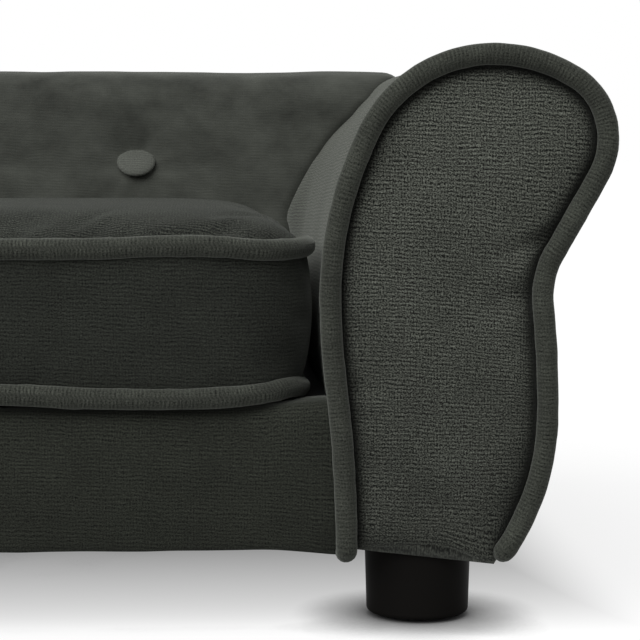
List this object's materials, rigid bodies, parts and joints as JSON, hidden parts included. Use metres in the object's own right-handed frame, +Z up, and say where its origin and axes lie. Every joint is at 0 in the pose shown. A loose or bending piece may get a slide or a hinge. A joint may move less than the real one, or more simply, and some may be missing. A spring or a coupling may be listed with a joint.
{
  "type": "dog sofa bed",
  "caption": "Small upholstered dog sofa with rolled arms, welted arm facings, a buttoned back, a loose boxed seat cushion with a zip and short round black legs.",
  "frame": {"origin": "on the floor, under the middle of the sofa's overall box", "axes": "+X to the right of someone who faces the sofa, +Y to its back, +Z up; the seat faces -Y"},
  "size_m": [0.74, 0.45, 0.303],
  "materials": {
    "cover_fabric": "chenille with fine ribs, soft sheen",
    "welt_fabric": "the same chenille over a cord",
    "foam": "polyurethane foam, matt",
    "plywood": "bare plywood",
    "softwood": "bare softwood",
    "hardboard": "smooth hardboard",
    "black_cloth": "non-woven cloth, matt",
    "leg_plastic": "satin black",
    "glide_plastic": "moulded, matt",
    "steel": "zinc-plated",
    "tie_cord": "waxed twine",
    "zip_tape": "woven tape",
    "zip_coil": "moulded coil",
    "zip_metal": "black lacquer"
  },
  "bodies": {
    "frame": {"arm_base_board_left": "plywood", "arm_base_board_right": "plywood", "arm_batten_left": "softwood", "arm_batten_right": "softwood", "arm_core_left": "foam", "arm_core_right": "foam", "arm_cover_left": "cover_fabric", "arm_cover_right": "cover_fabric", "arm_facing_left": "cover_fabric", "arm_facing_right": "cover_fabric", "arm_front_panel_left": "plywood", "arm_front_panel_right": "plywood", "arm_padding_left": "foam", "arm_padding_right": "foam", "arm_rear_panel_left": "plywood", "arm_rear_panel_right": "plywood", "arm_welt_left": "welt_fabric", "arm_welt_right": "welt_fabric", "back_cover": "cover_fabric", "back_padding": "foam", "back_support_board": "plywood", "back_top_rail": "softwood", "back_upright_left": "softwood", "back_upright_right": "softwood", "button_centre": "cover_fabric", "button_left": "cover_fabric", "button_right": "cover_fabric", "button_ties": "tie_cord", "button_toggles": "glide_plastic", "deck_bearer": "softwood", "deck_board": "plywood", "deck_cloth": "black_cloth", "dust_cover": "black_cloth", "frame_screws": "steel", "front_rail": "softwood", "leg_bolts": "steel", "leg_front_left": "leg_plastic", "leg_front_right": "leg_plastic", "leg_glides": "glide_plastic", "leg_nuts": "steel", "leg_rear_left": "leg_plastic", "leg_rear_right": "leg_plastic", "outside_back_board": "hardboard", "outside_back_cover": "cover_fabric", "rail_cover": "cover_fabric", "rail_padding": "foam", "rear_rail": "softwood", "side_rail_left": "softwood", "side_rail_right": "softwood"},
    "seat_cushion": {"cushion_bottom_panel": "cover_fabric", "cushion_bottom_welt": "welt_fabric", "cushion_boxing": "cover_fabric", "cushion_foam": "foam", "cushion_top_panel": "cover_fabric", "cushion_top_welt": "welt_fabric", "zipper_coil": "zip_coil", "zipper_tape": "zip_tape"},
    "zip_slider": {"zipper_slider": "zip_metal"}
  },
  "joints": [
    {"name": "cushion_lift", "type": "slide", "parent": "frame", "child": "seat_cushion", "axis": [0, 0, 1], "range_m": [0, 0.2]},
    {"name": "zip_slide", "type": "slide", "parent": "seat_cushion", "child": "zip_slider", "axis": [-1, 0, 0], "range_m": [0, 0.29]}
  ]
}
